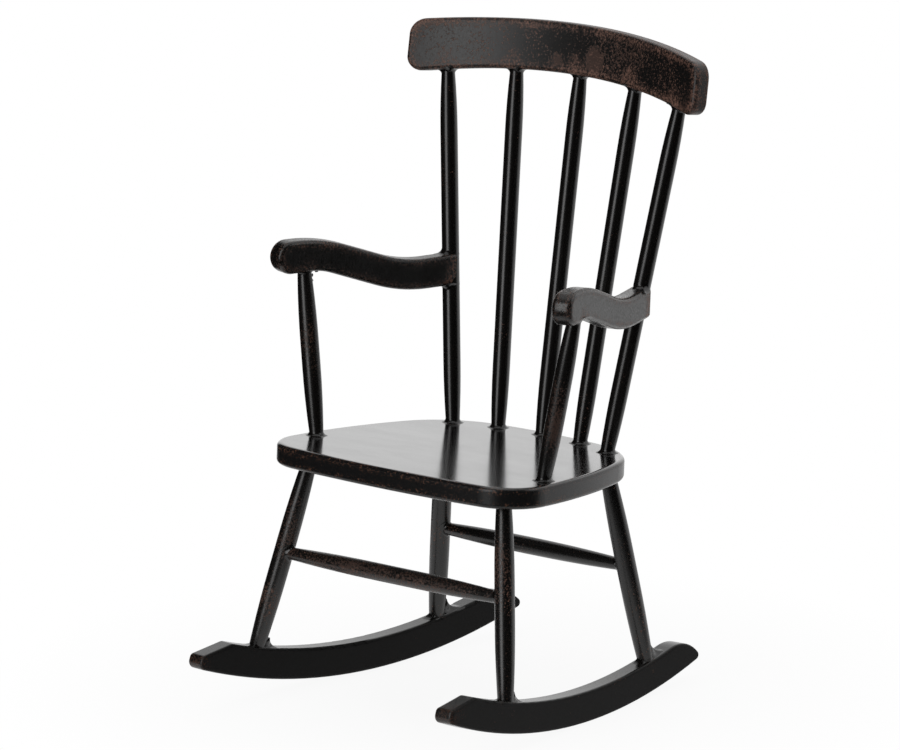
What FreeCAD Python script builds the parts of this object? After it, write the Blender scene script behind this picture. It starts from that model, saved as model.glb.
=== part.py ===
import FreeCAD, Part
import math
import os

import Sketcher

# A doll's rocking chair of cast and brazed metal, modelled in millimetres.
# The floor is Z = 0, the sitter faces -Y, and the sitter's left hand is at +X.
# The origin is on the floor midway between the two rockers, under the point
# where they touch it at rest.

os.makedirs("parts", exist_ok=True)
doc = FreeCAD.newDocument("MiniatureRockingChair")
Vector = FreeCAD.Vector
UP = Vector(0, 0, 1)
SIDES = {"left": 1, "right": -1}

# ---------------------------------------------------------------- sizes
# Lengths are in millimetres and angles in degrees.
SIZES = [
    ("FitClearance", "0.03", "gap all round a turned end in its socket"),
    ("SocketLand", "0.4", "plain length of a turned end outside its socket"),
    ("SeatHeight", "50.1", "top of the seat above the floor, at its middle"),
    ("SeatRakeAngle", "3.3", "slope of the seat down to the rear"),
    ("SeatThickness", "4.3", "seat board from top to underside"),
    ("SeatHalfWidth", "32.8", "half of the widest part of the seat"),
    ("SeatWidestForward", "23", "distance of the widest part ahead of the middle"),
    ("SeatFrontReach", "33.1", "front edge ahead of the middle"),
    ("SeatRearReach", "20.6", "rear edge behind the middle"),
    ("SeatSideRadius", "96", "bow of each side edge"),
    ("SeatFrontRadius", "220", "bow of the front edge"),
    ("SeatRearRadius", "97", "bow of the rear edge"),
    ("SeatFrontCorner", "9.8", "radius of each front corner"),
    ("SeatRearCorner", "18.8", "radius of each rear corner"),
    ("SeatEdgeRound", "0.9", "rounding along the seat's edges"),
    ("SeatSocketDepth", "1.7", "depth of every socket in the seat"),
    ("SpindleRowReach", "17.55", "middle spindle behind the middle of the seat"),
    ("SpindleRowRadius", "50", "bow of the row of spindles on the seat"),
    ("InnerSpindleFootOffset", "10.52", "inner spindle from the centre line at the seat"),
    ("OuterSpindleFootOffset", "19.88", "outer spindle from the centre line at the seat"),
    ("SpindleRadius", "1.75", "spindle radius along its barrel"),
    ("SpindleFootRadius", "1.42", "spindle radius at the seat"),
    ("SpindleHeadRadius", "1.35", "spindle radius at the crest"),
    ("SpindleTaper", "12", "length of the taper at each end of a spindle"),
    ("BackLength", "72.45", "middle spindle between seat and crest"),
    ("BackLeanAngle", "9.3", "lean of the back from upright"),
    ("CrestHeight", "10.1", "crest rail from bottom to top edge at its middle"),
    ("CrestThickness", "4", "crest rail from front to back"),
    ("CrestHalfWidth", "36.9", "half of the crest rail's width"),
    ("CrestPlanRadius", "86", "bend of the crest rail seen from above"),
    ("CrestBottomRadius", "167", "arch of the crest rail's bottom edge"),
    ("CrestTopRadius", "195", "arch of the crest rail's top edge"),
    ("CrestUpperCorner", "3.6", "upper corners of the crest rail seen from the front"),
    ("CrestLowerCorner", "2.7", "lower corners of the crest rail seen from the front"),
    ("CrestEdgeRound", "0.8", "rounding along the crest rail's edges"),
    ("CrestSocketDepth", "3", "depth of the sockets in the crest rail"),
    ("InnerSpindleHeadOffset", "15.15", "inner spindle from the centre line at the crest"),
    ("OuterSpindleHeadOffset", "29.54", "outer spindle from the centre line at the crest"),
    ("ArmFrontOffset", "36.5", "arm's front from the centre line"),
    ("ArmFrontReach", "21.7", "arm's front reference point ahead of the middle"),
    ("ArmFrontHeight", "86.95", "middle of the arm's front above the floor"),
    ("ArmNoseReach", "0.3", "arm's nose ahead of its reference point"),
    ("ArmHalfDepth", "3.1", "half of the arm from top to underside"),
    ("ArmNoseDrop", "0.4", "extra depth of the arm under its front"),
    ("ArmNoseBendRadius", "14", "bend of the underside behind the arm's front"),
    ("ArmWidth", "4.2", "arm across its flat sides"),
    ("ArmBendStart", "3.4", "start of the arm's first bend behind its front"),
    ("ArmBendRadius", "33.4", "middle line of each of the arm's two bends"),
    ("ArmSlopeAngle", "20", "slope of the arm between its bends"),
    ("ArmSlopeLength", "9.6", "straight of the arm between its bends"),
    ("ArmEdgeRound", "0.95", "rounding along the arm's edges"),
    ("ArmCradleOffset", "0.05", "arm's middle plane outside the spindle's axis"),
    ("ArmSocketDepth", "2.4", "depth of the post's socket in the arm"),
    ("PostFootOffset", "29.1", "arm post from the centre line at the seat"),
    ("PostFootForward", "17.91", "arm post ahead of the middle at the seat"),
    ("PostHeadAlongArm", "6.8", "arm post behind the arm's reference point"),
    ("PostRadius", "1.85", "arm post's radius at its middle"),
    ("PostEndRadius", "1.4", "arm post's radius at both ends"),
    ("PostTaper", "13", "length of the taper at each end of an arm post"),
    ("FrontLegHeadOffset", "24.98", "front leg from the centre line at the seat"),
    ("FrontLegHeadForward", "25.05", "front leg ahead of the middle at the seat"),
    ("RearLegHeadOffset", "21.1", "rear leg from the centre line at the seat"),
    ("RearLegHeadBehind", "12.23", "rear leg behind the middle at the seat"),
    ("FrontLegFootForward", "33.2", "front leg ahead of the floor contact, on the rocker"),
    ("RearLegFootBehind", "17", "rear leg behind the floor contact, on the rocker"),
    ("LegRadius", "2", "leg radius at its middle"),
    ("LegHeadRadius", "1.55", "leg radius at the seat"),
    ("LegFootRadius", "1.6", "leg radius at the rocker"),
    ("LegTaper", "15", "length of the taper at each end of a leg"),
    ("StretcherRadius", "1.75", "stretcher radius at its middle"),
    ("StretcherEndRadius", "1.25", "stretcher radius at both ends"),
    ("StretcherTaper", "20", "length of the taper at each end of a stretcher"),
    ("StretcherSocketDepth", "1.2", "depth of the sockets in the legs"),
    ("FrontStretcherHeight", "29.45", "front stretcher above the floor"),
    ("RearStretcherHeight", "26.65", "rear stretcher above the floor"),
    ("RockerRadius", "143.9", "rocker's bottom arc"),
    ("RockerHeight", "6.3", "rocker from bottom to top arc"),
    ("RockerThickness", "4.2", "rocker across its flat sides"),
    ("RockerHalfSpacing", "28.69", "rocker from the centre line at the floor contact"),
    ("RockerToeInAngle", "5.7", "angle that brings the rockers together at the rear"),
    ("RockerFrontReach", "54.3", "rocker ahead of the floor contact, along its arc"),
    ("RockerRearReach", "38", "rocker behind the floor contact, along its arc"),
    ("RockerStagger", "2.7", "left rocker set forward, and right rocker back, by this"),
    ("RockerBevelLength", "7.6", "length of the bevel at the rocker's front"),
    ("RockerNoseHeight", "2.6", "rocker's height left at its front tip"),
    ("RockerNoseRound", "1", "rounding at the top of the rocker's front tip"),
    ("RockerToeRound", "1.4", "rounding under the rocker's front tip"),
    ("RockerBevelRound", "1.2", "rounding at the top of the rocker's bevel"),
    ("RockerRearRound", "11.4", "large rounding at the top of the rocker's rear"),
    ("RockerHeelRound", "1", "rounding of the rocker's rear bottom corner"),
    ("RockerEdgeRound", "0.7", "rounding along the rocker's edges"),
    ("RockerSocketDepth", "2.6", "depth of the leg sockets in the rocker"),
]
sheet = doc.addObject("Spreadsheet::Sheet", "Sizes")
for row, (alias, value, meaning) in enumerate(SIZES, start=1):
    sheet.set(f"A{row}", meaning)
    sheet.set(f"B{row}", value)
    sheet.setAlias(f"B{row}", alias)
doc.recompute()

parts = {}


def size(alias):
    """Value of one named size."""
    return float(sheet.get(alias))


# ---------------------------------------------------------------- helpers
def origin_plane(body, role):
    """One of a body's own origin planes."""
    return next(f for f in body.Origin.OriginFeatures if f.Role == role)


def new_sketch(body, name, role):
    """Empty sketch lying on one of the body's own origin planes."""
    sketch = body.newObject("Sketcher::SketchObject", name)
    sketch.AttachmentSupport = (origin_plane(body, role), [""])
    sketch.MapMode = "FlatFace"
    return sketch


def draw_loop(sketch, edges):
    """Closed loop of lines and arcs whose places are worked out beforehand."""
    for edge in edges:
        index = sketch.addGeometry(edge, False)
        sketch.addConstraint(Sketcher.Constraint("Block", index))


def line(start, end):
    """Straight sketch edge between two (across, up) points."""
    return Part.LineSegment(Vector(*start, 0), Vector(*end, 0))


def arc(start, through, end):
    """Round sketch edge through three (across, up) points."""
    return Part.Arc(Vector(*start, 0), Vector(*through, 0), Vector(*end, 0))


def polar(centre, radius, angle):
    """Point at an angle in radians on a circle round a centre."""
    return (centre[0] + radius * math.cos(angle), centre[1] + radius * math.sin(angle))


def bearing(centre, point):
    """Angle in radians of a point seen from a centre."""
    return math.atan2(point[1] - centre[1], point[0] - centre[0])


def arc_about(centre, radius, start, end):
    """Arc from one angle to another round a centre, the short way."""
    middle = (start + end) / 2
    return arc(polar(centre, radius, start), polar(centre, radius, middle), polar(centre, radius, end))


def corner_centre(centre_a, radius_a, centre_b, radius_b, radius):
    """Centre of a small arc that rolls inside two large ones, on the +across side."""
    reach_a, reach_b = radius_a - radius, radius_b - radius
    dx, dy = centre_b[0] - centre_a[0], centre_b[1] - centre_a[1]
    span = math.hypot(dx, dy)
    foot = (reach_a ** 2 - reach_b ** 2 + span ** 2) / (2 * span)
    rise = math.sqrt(reach_a ** 2 - foot ** 2)
    base = (centre_a[0] + dx * foot / span, centre_a[1] + dy * foot / span)
    options = [(base[0] - side * dy * rise / span, base[1] + side * dx * rise / span) for side in (1, -1)]
    return max(options)


def flat_side_edges(shape, axis, half):
    """Names of the edges that lie in the two flat sides at plus and minus half."""
    names = []
    for index, edge in enumerate(shape.Edges, start=1):
        if all(abs(abs(getattr(vertex.Point, axis)) - half) < 1e-6 for vertex in edge.Vertexes):
            names.append(f"Edge{index}")
    return names


def edge_through(shape, corner):
    """Name of the edge that crosses a plate at a corner of its side outline."""
    for index, edge in enumerate(shape.Edges, start=1):
        points = [vertex.Point for vertex in edge.Vertexes]
        if all(abs(p.y - corner[0]) + abs(p.z - corner[1]) < 1e-4 for p in points):
            return f"Edge{index}"
    raise RuntimeError("no edge at that corner")


def swelling(barrel, end):
    """Arc between a turned end and the barrel, upright where it meets the barrel."""
    step, run = barrel[0] - end[0], abs(barrel[1] - end[1])
    radius = (run ** 2 + step ** 2) / (2 * step)
    centre = (barrel[0] - radius, barrel[1])
    return arc_about(centre, radius, *sorted((bearing(centre, end), bearing(centre, barrel))))


def turned(name, foot, head, depths, radii, tapers):
    """Turned piece between two surface points, with a plain end in a socket at each.

    The profile is swung round the piece's axis: a plain foot, an arc that swells to the
    barrel and runs into it smoothly, the barrel, and the same in reverse to the head.
    depths, radii and tapers are names of sizes, and the profile is constrained to them.
    """
    along = (head - foot).normalize()
    span = (head - foot).Length
    foot_depth, head_depth = (size(depth) for depth in depths)
    length = foot_depth + span + head_depth
    foot_land = foot_depth + size("SocketLand")
    head_land = head_depth + size("SocketLand")
    foot_radius, barrel_radius, head_radius = (size(radius) for radius in radii)
    foot_taper, head_taper = (size(taper) for taper in tapers)

    body = doc.addObject("PartDesign::Body", name + "_body")
    sketch = new_sketch(body, name + "_profile", "XZ_Plane")
    barrel_start = (barrel_radius, foot_land + foot_taper)
    barrel_end = (barrel_radius, length - head_land - head_taper)
    sketch.addGeometry([
        line((0, 0), (foot_radius, 0)),
        line((foot_radius, 0), (foot_radius, foot_land)),
        swelling(barrel_start, (foot_radius, foot_land)),
        line(barrel_start, barrel_end),
        swelling(barrel_end, (head_radius, length - head_land)),
        line((head_radius, length - head_land), (head_radius, length)),
        line((head_radius, length), (0, length)),
        line((0, length), (0, 0)),
    ], False)
    sketch.addConstraint(
        [Sketcher.Constraint("Coincident", -1, 1, 0, 1)]
        + [Sketcher.Constraint("Horizontal", edge) for edge in (0, 6)]
        + [Sketcher.Constraint("Vertical", edge) for edge in (1, 3, 5, 7)]
        + [Sketcher.Constraint("Coincident", edge, 2, (edge + 1) % 8, 1) for edge in (0, 1, 4, 5, 6, 7)]
        + [Sketcher.Constraint("Tangent", edge, 2, edge + 1, 1) for edge in (2, 3)]
    )
    # Each dimension: its name, its direction, the two points between which it is taken, its
    # present value, and the sizes that it follows.
    dimensions = [
        ("foot_radius", "DistanceX", (0, 1, 0, 2), foot_radius, f"Sizes.{radii[0]}"),
        ("barrel_radius", "DistanceX", (0, 1, 3, 1), barrel_radius, f"Sizes.{radii[1]}"),
        ("head_radius", "DistanceX", (6, 2, 6, 1), head_radius, f"Sizes.{radii[2]}"),
        ("foot_land", "DistanceY", (1, 1, 1, 2), foot_land, f"Sizes.{depths[0]} + Sizes.SocketLand"),
        ("head_land", "DistanceY", (5, 1, 5, 2), head_land, f"Sizes.{depths[1]} + Sizes.SocketLand"),
        ("foot_taper", "DistanceY", (2, 1, 2, 2), foot_taper, f"Sizes.{tapers[0]}"),
        ("head_taper", "DistanceY", (4, 1, 4, 2), head_taper, f"Sizes.{tapers[1]}"),
        ("overall", "DistanceY", (0, 1, 7, 1), length,
         f"{span:.9f} + Sizes.{depths[0]} + Sizes.{depths[1]}"),
    ]
    for label, direction, points, value, rule in dimensions:
        index = sketch.addConstraint(Sketcher.Constraint(direction, *points, value))
        sketch.renameConstraint(index, label)
        sketch.setExpression("Constraints." + label, rule)
    spin = body.newObject("PartDesign::Revolution", name + "_turning")
    spin.Profile = sketch
    spin.ReferenceAxis = (sketch, ["V_Axis"])
    spin.Angle = 360
    body.Placement = FreeCAD.Placement(foot - along * foot_depth, FreeCAD.Rotation(UP, along))
    return body


def socket(name, mouth, inward, depth, radius):
    """Blind hole for a turned end: a cutter from the socket's floor out past its mouth."""
    cutter = doc.addObject("Part::Cylinder", name)
    cutter.setExpression("Radius", f"Sizes.{radius} + Sizes.FitClearance")
    cutter.setExpression("Height", f"Sizes.{depth} + Sizes.FitClearance + 4 * Sizes.{radius}")
    floor = mouth + inward * (size(depth) + size("FitClearance"))
    cutter.Placement = FreeCAD.Placement(floor, FreeCAD.Rotation(UP, inward.negative()))
    return cutter


def finish(name, base, cutters):
    """Cut the sockets out of a piece and give it the name that its file takes."""
    if not cutters:
        base.Label = name
        parts[name] = base
        return
    tool = cutters[0]
    if len(cutters) > 1:
        tool = doc.addObject("Part::MultiFuse", name + "_sockets")
        tool.Shapes = cutters
    cut = doc.addObject("Part::Cut", name + "_cut")
    cut.Base = base
    cut.Tool = tool
    cut.Label = name
    parts[name] = cut


# ---------------------------------------------------------------- places
rake = math.radians(size("SeatRakeAngle"))
seat_normal = Vector(0, math.sin(rake), math.cos(rake))
lean = math.radians(size("BackLeanAngle"))
back_up = Vector(0, math.sin(lean), math.cos(lean))
back_rear = Vector(0, math.cos(lean), -math.sin(lean))
toe = math.radians(size("RockerToeInAngle"))


def on_seat(x, y):
    """Point on the seat's top surface."""
    return Vector(x, y, size("SeatHeight") - math.tan(rake) * y)


def under_seat(x, y):
    """Point on the seat's underside."""
    return on_seat(x, y) - UP * (size("SeatThickness") / math.cos(rake))


def spindle_foot(offset):
    """Point on the seat where a spindle stands, on the bowed row."""
    bow = size("SpindleRowRadius")
    return on_seat(offset, size("SpindleRowReach") - bow + math.sqrt(bow ** 2 - offset ** 2))


crest_middle = spindle_foot(0) + back_up * size("BackLength")


def crest_bottom(offset):
    """Point in the middle of the crest rail's bottom edge."""
    bend, arch = size("CrestPlanRadius"), size("CrestBottomRadius")
    rearward = math.sqrt(bend ** 2 - offset ** 2) - bend
    upward = math.sqrt(arch ** 2 - offset ** 2) - arch
    return crest_middle + Vector(offset, 0, 0) + back_rear * rearward + back_up * upward


def rocker_direction(side):
    """Level direction along a rocker, towards the rear."""
    return Vector(-side * math.sin(toe), math.cos(toe), 0)


def rocker_top(side, along):
    """Point in the middle of a rocker's top edge, at a distance behind the contact."""
    inner = size("RockerRadius") - size("RockerHeight")
    height = size("RockerRadius") - math.sqrt(inner ** 2 - along ** 2)
    contact = Vector(side * size("RockerHalfSpacing"), 0, 0)
    return contact + rocker_direction(side) * along + UP * height


def at_height(start, end, height):
    """Point at a height on the straight line between two points."""
    return start + (end - start) * ((height - start.z) / (end.z - start.z))


spindle_ends = {"back_spindle_centre": (spindle_foot(0), crest_bottom(0))}
for hand, side in SIDES.items():
    for row in ("Inner", "Outer"):
        spindle_ends[f"back_spindle_{row.lower()}_{hand}"] = (
            spindle_foot(side * size(row + "SpindleFootOffset")),
            crest_bottom(side * size(row + "SpindleHeadOffset")),
        )

leg_ends = {}
for hand, side in SIDES.items():
    leg_ends["front_leg_" + hand] = (
        rocker_top(side, -size("FrontLegFootForward")),
        under_seat(side * size("FrontLegHeadOffset"), -size("FrontLegHeadForward")),
    )
    leg_ends["rear_leg_" + hand] = (
        rocker_top(side, size("RearLegFootBehind")),
        under_seat(side * size("RearLegHeadOffset"), size("RearLegHeadBehind")),
    )


# ---------------------------------------------------------------- arms
# Each arm is a level band at its nose, bends down, runs straight and bends level again.
slope = math.radians(size("ArmSlopeAngle"))
bend_run = size("ArmBendRadius") * math.sin(slope)
bend_drop = size("ArmBendRadius") * (1 - math.cos(slope))
arm_drop = 2 * bend_drop + size("ArmSlopeLength") * math.sin(slope)
arm_rear_height = size("ArmFrontHeight") - arm_drop


def arm_frame(hand):
    """Front point, level direction and length of an arm, up to its spindle's axis."""
    side = SIDES[hand]
    front = Vector(side * size("ArmFrontOffset"), -size("ArmFrontReach"), size("ArmFrontHeight"))
    axis_point = at_height(*spindle_ends["back_spindle_outer_" + hand], arm_rear_height)
    outward = Vector(side * size("ArmCradleOffset"), 0, 0)
    reach = axis_point + outward - Vector(front.x, front.y, axis_point.z)
    return front, Vector(reach).normalize(), reach.Length


def nose_underside():
    """Height of the arm's underside at its front, and how far back it stays level."""
    bend, half = size("ArmBendRadius"), size("ArmHalfDepth")
    height = -half - size("ArmNoseDrop")
    slope_start = polar((size("ArmBendStart"), -bend), bend - half, math.pi / 2 - slope)
    meeting = slope_start[0] - (height - slope_start[1]) / math.tan(slope)
    return height, meeting - size("ArmNoseBendRadius") * math.tan(slope / 2)


def arm_underside(along):
    """Height of the arm's underside within its front part, from its front's middle."""
    height, level_end = nose_underside()
    past = max(along - level_end, 0)
    bend = size("ArmNoseBendRadius")
    return height - bend + math.sqrt(bend ** 2 - past ** 2)


def arm_outline(reach, rear_lean):
    """Side outline of an arm: a band round its middle line, with a round nose.

    The band's rear end leans as the spindle does, rear_lean back for each unit up.
    """
    half, bend = size("ArmHalfDepth"), size("ArmBendRadius")
    start = size("ArmBendStart")
    nose = half - size("ArmNoseReach")
    first = (start, -bend)
    second_x = start + 2 * bend_run + size("ArmSlopeLength") * math.cos(slope)
    second = (second_x, bend - arm_drop)
    upright, down = math.pi / 2, -math.pi / 2
    outer, inner = bend + half, bend - half
    top_a, top_b = polar(first, outer, upright), polar(first, outer, upright - slope)
    top_c, top_d = polar(second, inner, down - slope), polar(second, inner, down)
    low_c, low_d = polar(second, outer, down - slope), polar(second, outer, down)
    rear_top = (reach + half * rear_lean, top_d[1])
    rear_low = (reach - half * rear_lean, low_d[1])
    nose_low, level_end = nose_underside()
    under_radius = size("ArmNoseBendRadius")
    under = (level_end, nose_low - under_radius)
    low_a, low_b = polar(under, under_radius, upright), polar(under, under_radius, upright - slope)
    return [
        line((nose, half), top_a),
        arc_about(first, outer, upright, upright - slope),
        line(top_b, top_c),
        arc_about(second, inner, down - slope, down),
        line(top_d, rear_top),
        line(rear_top, rear_low),
        line(rear_low, low_d),
        arc_about(second, outer, down, down - slope),
        line(low_c, low_b),
        arc_about(under, under_radius, upright - slope, upright),
        line(low_a, (nose, nose_low)),
        arc((nose, nose_low), (-size("ArmNoseReach"), (half + nose_low) / 2), (nose, half)),
    ]


post_ends = {}
for hand, side in SIDES.items():
    front, direction, _ = arm_frame(hand)
    along = size("PostHeadAlongArm")
    head = front + direction * along + UP * arm_underside(along)
    foot = on_seat(side * size("PostFootOffset"), -size("PostFootForward"))
    post_ends["arm_post_" + hand] = (foot, head)


def make_arm(hand):
    """Arm with a socket over its post and a hollow that cradles the outer spindle."""
    name = "arm_" + hand
    front, direction, reach = arm_frame(hand)
    low, high = spindle_ends["back_spindle_outer_" + hand]
    spindle_up = (high - low).normalize()
    body = doc.addObject("PartDesign::Body", name + "_body")
    sketch = new_sketch(body, name + "_outline", "XZ_Plane")
    rear_lean = spindle_up.dot(direction) / spindle_up.z
    draw_loop(sketch, arm_outline(reach + size("SpindleRadius"), rear_lean))
    pad = body.newObject("PartDesign::Pad", name + "_width")
    pad.Profile = sketch
    pad.Midplane = True
    pad.setExpression("Length", "Sizes.ArmWidth")
    doc.recompute()
    rounding = body.newObject("PartDesign::Fillet", name + "_edges")
    rounding.Base = (pad, flat_side_edges(pad.Shape, "y", size("ArmWidth") / 2))
    rounding.setExpression("Radius", "Sizes.ArmEdgeRound")
    turn = math.degrees(math.atan2(direction.y, direction.x))
    body.Placement = FreeCAD.Placement(front, FreeCAD.Rotation(UP, turn))

    foot, head = post_ends["arm_post_" + hand]
    post_up = (head - foot).normalize()
    cutters = [socket(name + "_post_socket", head, post_up, "ArmSocketDepth", "PostEndRadius")]
    cradle = doc.addObject("Part::Cylinder", name + "_cradle")
    cradle.setExpression("Radius", "Sizes.SpindleRadius + Sizes.FitClearance")
    cradle.setExpression("Height", "6 * Sizes.ArmHalfDepth")
    centre = at_height(low, high, arm_rear_height) - spindle_up * (3 * size("ArmHalfDepth"))
    cradle.Placement = FreeCAD.Placement(centre, FreeCAD.Rotation(UP, spindle_up))
    cutters.append(cradle)

    # Behind the spindle's axis the arm is left only on the outer side.
    relief = doc.addObject("Part::Box", name + "_relief")
    relief.setExpression("Length", "2 * Sizes.SpindleRadius")
    relief.setExpression("Width", "2 * Sizes.ArmWidth")
    relief.setExpression("Height", "6 * Sizes.ArmHalfDepth")
    turned_up = FreeCAD.Rotation(UP, spindle_up).multiply(FreeCAD.Rotation(UP, turn))
    inner_side = 0 if SIDES[hand] > 0 else -2 * size("ArmWidth")
    corner = centre + turned_up.multVec(Vector(0, inner_side, 0))
    relief.Placement = FreeCAD.Placement(corner, turned_up)
    cutters.append(relief)
    finish(name, body, cutters)


# ---------------------------------------------------------------- seat
def seat_outline():
    """Shield outline: bowed front, sides and rear joined by round corners."""
    front_radius, rear_radius = size("SeatFrontRadius"), size("SeatRearRadius")
    side_radius = size("SeatSideRadius")
    front = (0, front_radius - size("SeatFrontReach"))
    rear = (0, size("SeatRearReach") - rear_radius)
    side = (size("SeatHalfWidth") - side_radius, -size("SeatWidestForward"))
    front_corner, rear_corner = size("SeatFrontCorner"), size("SeatRearCorner")
    near = corner_centre(front, front_radius, side, side_radius, front_corner)
    far = corner_centre(rear, rear_radius, side, side_radius, rear_corner)
    right_half = [
        (near, front_corner, bearing(front, near), bearing(side, near)),
        (side, side_radius, bearing(side, near), bearing(side, far)),
        (far, rear_corner, bearing(side, far), bearing(rear, far)),
    ]
    edges = [arc_about(front, front_radius, -math.pi - bearing(front, near), bearing(front, near))]
    for centre, radius, start, end in right_half:
        edges.append(arc_about(centre, radius, start, end))
    edges.append(arc_about(rear, rear_radius, bearing(rear, far), math.pi - bearing(rear, far)))
    for centre, radius, start, end in reversed(right_half):
        mirrored = (-centre[0], centre[1])
        edges.append(arc_about(mirrored, radius, math.pi - end, math.pi - start))
    return edges


def make_seat():
    """Raked seat board with blind sockets for spindles, posts and legs."""
    body = doc.addObject("PartDesign::Body", "seat_body")
    sketch = new_sketch(body, "seat_outline", "XY_Plane")
    draw_loop(sketch, seat_outline())
    pad = body.newObject("PartDesign::Pad", "seat_board")
    pad.Profile = sketch
    pad.Reversed = True
    pad.setExpression("Length", "Sizes.SeatThickness")
    doc.recompute()
    rims = [f"Edge{i}" for i, edge in enumerate(pad.Shape.Edges, start=1)
            if abs(edge.Vertexes[0].Point.z - edge.Vertexes[-1].Point.z) < 1e-6]
    rounding = body.newObject("PartDesign::Fillet", "seat_edges")
    rounding.Base = (pad, rims)
    rounding.setExpression("Radius", "Sizes.SeatEdgeRound")
    tilt = FreeCAD.Rotation(Vector(1, 0, 0), -size("SeatRakeAngle"))
    body.Placement = FreeCAD.Placement(on_seat(0, 0), tilt)

    cutters = []
    for name, (foot, head) in spindle_ends.items():
        down = (foot - head).normalize()
        cutters.append(socket(name + "_foot_socket", foot, down, "SeatSocketDepth", "SpindleFootRadius"))
    for name, (foot, head) in post_ends.items():
        down = (foot - head).normalize()
        cutters.append(socket(name + "_foot_socket", foot, down, "SeatSocketDepth", "PostEndRadius"))
    for name, (foot, head) in leg_ends.items():
        upward = (head - foot).normalize()
        cutters.append(socket(name + "_head_socket", head, upward, "SeatSocketDepth", "LegHeadRadius"))
    finish("seat", body, cutters)


# ---------------------------------------------------------------- crest rail
def make_crest_rail():
    """Bent board: a curved slab cut to an arched front outline, with all edges rounded."""
    half = size("CrestHalfWidth")
    upper, lower = size("CrestUpperCorner"), size("CrestLowerCorner")
    bend, thickness = size("CrestPlanRadius"), size("CrestThickness")
    height = size("CrestHeight")
    tilt = FreeCAD.Rotation(Vector(1, 0, 0), -size("BackLeanAngle"))
    place = FreeCAD.Placement(crest_middle, tilt)

    slab = doc.addObject("PartDesign::Body", "crest_slab")
    sketch = new_sketch(slab, "crest_plan", "XY_Plane")
    centre = (0, -bend)
    spread = math.asin((half + thickness) / (bend - thickness))
    start, end = math.pi / 2 - spread, math.pi / 2 + spread
    outer, inner = bend + thickness / 2, bend - thickness / 2
    draw_loop(sketch, [
        arc_about(centre, outer, start, end),
        line(polar(centre, outer, end), polar(centre, inner, end)),
        arc_about(centre, inner, end, start),
        line(polar(centre, inner, start), polar(centre, outer, start)),
    ])
    pad = slab.newObject("PartDesign::Pad", "crest_slab_height")
    pad.Profile = sketch
    pad.Midplane = True
    pad.setExpression("Length", "4 * Sizes.CrestHeight")
    slab.Placement = place

    face = doc.addObject("PartDesign::Body", "crest_face")
    sketch = new_sketch(face, "crest_elevation", "XZ_Plane")
    low, high = size("CrestBottomRadius"), size("CrestTopRadius")
    low_centre, high_centre = (0, -low), (0, height - high)
    # An upper corner touches the upright end and rolls inside the top arch.
    top_x = half - upper
    top_y = high_centre[1] + math.sqrt((high - upper) ** 2 - top_x ** 2)
    # A lower corner touches the upright end and rolls outside the bottom arch.
    low_x = half - lower
    low_y = low_centre[1] + math.sqrt((low + lower) ** 2 - low_x ** 2)
    top_angle = bearing(high_centre, (top_x, top_y))
    low_angle = bearing(low_centre, (low_x, low_y))
    draw_loop(sketch, [
        arc_about(high_centre, high, math.pi - top_angle, top_angle),
        arc_about((top_x, top_y), upper, top_angle, 0),
        line((half, top_y), (half, low_y)),
        arc_about((low_x, low_y), lower, 0, low_angle - math.pi),
        arc_about(low_centre, low, low_angle, math.pi - low_angle),
        arc_about((-low_x, low_y), lower, 2 * math.pi - low_angle, math.pi),
        line((-half, low_y), (-half, top_y)),
        arc_about((-top_x, top_y), upper, math.pi, math.pi - top_angle),
    ])
    pad = face.newObject("PartDesign::Pad", "crest_face_depth")
    pad.Profile = sketch
    pad.Midplane = True
    pad.setExpression("Length", "2 * Sizes.CrestHalfWidth")
    face.Placement = place

    board = doc.addObject("Part::Common", "crest_board")
    board.Base = slab
    board.Tool = face
    doc.recompute()
    rounded = doc.addObject("Part::Fillet", "crest_edges")
    rounded.Base = board
    radius = size("CrestEdgeRound")
    rims = []
    for index, edge in enumerate(board.Shape.Edges, start=1):
        middle = place.inverse().multVec(edge.valueAt((edge.FirstParameter + edge.LastParameter) / 2))
        off_axis = math.hypot(middle.x, middle.y + bend)
        ends = [place.inverse().multVec(vertex.Point) for vertex in edge.Vertexes]
        same_side = all(abs(math.hypot(p.x, p.y + bend) - off_axis) < 1e-3 for p in ends)
        if same_side:
            rims.append((index, radius, radius))
    rounded.Edges = rims

    cutters = []
    for name, (foot, head) in spindle_ends.items():
        upward = (head - foot).normalize()
        cutters.append(socket(name + "_head_socket", head, upward, "CrestSocketDepth", "SpindleHeadRadius"))
    finish("crest_rail", rounded, cutters)


# ---------------------------------------------------------------- rockers
def rocker_outline(side):
    """Side outline of a rocker: two arcs of one centre, a bevelled front and a round rear."""
    radius, height = size("RockerRadius"), size("RockerHeight")
    centre = (0, radius)
    inner = radius - height
    shift = side * size("RockerStagger")
    down = -math.pi / 2
    front = down - (size("RockerFrontReach") + shift) / radius
    rear = down + (size("RockerRearReach") - shift) / radius
    bevel = front + size("RockerBevelLength") / radius
    nose_top = polar(centre, radius - size("RockerNoseHeight"), front)
    bevel_top = polar(centre, inner, bevel)

    # The rear round touches the top arc from outside and meets the bottom arc's end.
    rear_round = size("RockerRearRound")
    heel = polar(centre, radius, rear)
    reach = inner + rear_round
    span = radius
    swing = math.acos((reach ** 2 + span ** 2 - rear_round ** 2) / (2 * reach * span))
    round_centre = polar(centre, reach, rear - swing)
    touch = polar(centre, inner, rear - swing)
    round_start = bearing(round_centre, touch)
    round_end = bearing(round_centre, heel)
    corners = [nose_top, polar(centre, radius, front), heel, bevel_top]
    return corners, [
        arc_about(centre, radius, front, rear),
        arc_about(round_centre, rear_round, round_end, round_start),
        arc_about(centre, inner, rear - swing, bevel),
        line(bevel_top, nose_top),
        line(nose_top, polar(centre, radius, front)),
    ]


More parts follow.
